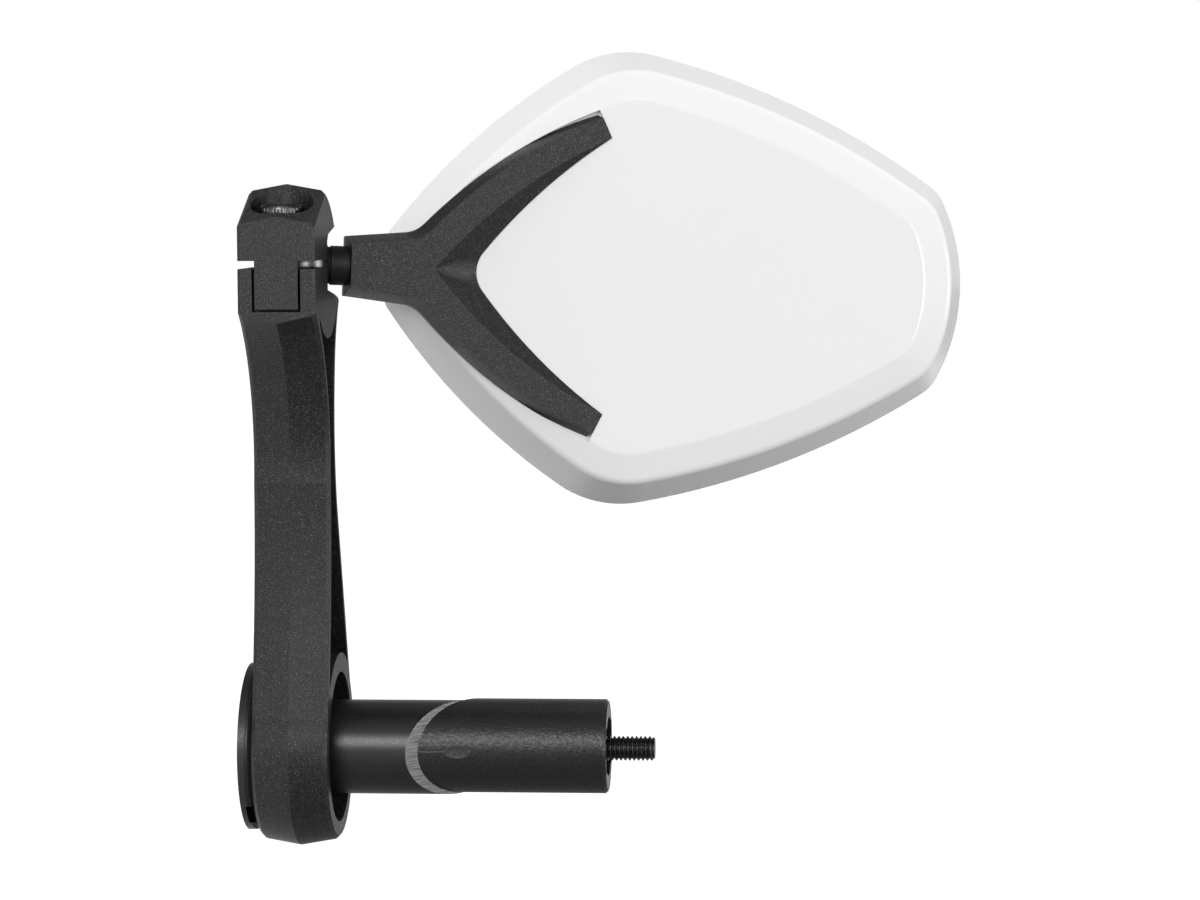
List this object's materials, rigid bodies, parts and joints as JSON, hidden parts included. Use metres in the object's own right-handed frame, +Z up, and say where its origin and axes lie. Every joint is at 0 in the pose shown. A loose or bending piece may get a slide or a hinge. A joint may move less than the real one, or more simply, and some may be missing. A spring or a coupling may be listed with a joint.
{
  "type": "bar end mirror",
  "caption": "Bar end mirror: an upright moulded arm on an expander plug for the bar's end, a clamped ball joint with a Y bracket, and a mirror in a rounded five-sided shell.",
  "frame": {"origin": "on the plug's axis, in the plane of the hub's bar-side face", "axes": "+X along the plug into the handlebar, +Z up the arm, +Y towards the rider's side, where the glass faces"},
  "size_m": [0.1144, 0.0536, 0.1265],
  "materials": {
    "black_nylon": "grained, glass-filled",
    "black_steel": "black oxide",
    "brass_insert": "machined",
    "anodised_tube": "black anodised, slanted end bare",
    "black_wedge": "satin moulded",
    "black_cap": "satin moulded",
    "bright_steel": "ground",
    "white_shell": "gloss white",
    "foam_pad": "foam tape",
    "silvered_glass": "first quality mirror, ground edge"
  },
  "bodies": {
    "plug": {"expander_tube": "anodised_tube"},
    "arm": {"arm": "black_nylon", "clamp_cap": "black_nylon", "clamp_screw": "black_steel", "clamp_washer": "black_steel", "clamp_insert": "brass_insert"},
    "screw": {"expander_screw": "black_steel", "expander_washer": "black_steel"},
    "wedge": {"expander_wedge": "black_wedge"},
    "nut": {"expander_nut": "black_steel"},
    "cap": {"end_cap": "black_cap"},
    "stud": {"ball_stud": "bright_steel"},
    "head": {"mirror_bracket": "black_nylon", "bracket_screws": "bright_steel", "mirror_housing": "white_shell", "glass_pad": "foam_pad", "mirror_glass": "silvered_glass"}
  },
  "joints": [
    {"name": "arm_swing", "type": "hinge", "parent": "plug", "child": "arm", "pos_m": [0, 0, 0], "axis": [1, 0, 0], "continuous": true},
    {"name": "screw_turn", "type": "hinge", "parent": "plug", "child": "screw", "pos_m": [0, 0, 0], "axis": [1, 0, 0], "range_deg": [0, 1801]},
    {"name": "wedge_slide", "type": "slide", "parent": "plug", "child": "wedge", "axis": [-0.7071, -0.7069, -0.0185], "range_m": [0, 0.00495]},
    {"name": "nut_slide", "type": "slide", "parent": "plug", "child": "nut", "axis": [-1, 0, 0], "range_m": [0, 0.0035]},
    {"name": "cap_pull", "type": "slide", "parent": "arm", "child": "cap", "axis": [-1, 0, 0], "range_m": [0, 0.015]},
    {"name": "ball_yaw", "type": "hinge", "parent": "arm", "child": "stud", "pos_m": [-0.006, -0.0035, 0.0772], "axis": [0, 0, 1], "range_deg": [-20, 25]},
    {"name": "mirror_tilt", "type": "hinge", "parent": "stud", "child": "head", "pos_m": [-0.006, -0.0035, 0.0772], "axis": [0.9771, 0.2077, -0.0471], "range_deg": [-15, 15]}
  ],
  "couplings": [
    {"joint": "screw_turn", "follows": "wedge_slide", "rad_per_m": 6347},
    {"joint": "nut_slide", "follows": "wedge_slide", "ratio": 0.70711}
  ]
}
